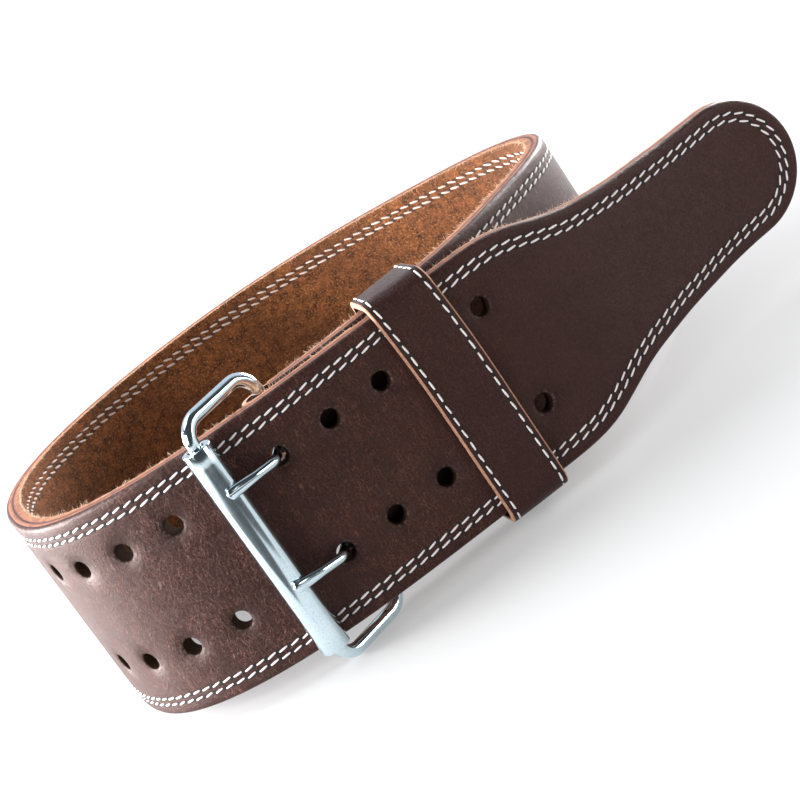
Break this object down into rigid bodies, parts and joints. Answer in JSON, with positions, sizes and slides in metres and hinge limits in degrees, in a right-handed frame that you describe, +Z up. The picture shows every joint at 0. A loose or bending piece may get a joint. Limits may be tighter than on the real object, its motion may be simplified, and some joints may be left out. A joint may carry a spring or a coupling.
{
  "type": "weightlifting belt",
  "caption": "Leather weightlifting belt fastened into a loop: grain and suede plies, tapered tongue, punched hole pairs, roller buckle with two prongs, and a keeper.",
  "frame": {"origin": "centre of the bounding box at the surface that the belt stands on", "axes": "+Z up across the belt's width, +X towards the tongue, -Y towards the side that carries the buckle"},
  "size_m": [0.3704, 0.2474, 0.1235],
  "materials": {
    "grain_leather": "smooth dark brown grain, satin",
    "suede": "napped tan-brown suede",
    "steel": "bright plated wire"
  },
  "bodies": {
    "root": {"strap_grain": "grain_leather", "strap_suede": "suede", "chape": "grain_leather", "keeper": "grain_leather", "buckle_frame": "steel", "roller": "steel", "prong_upper": "steel", "prong_lower": "steel"}
  },
  "joints": []
}
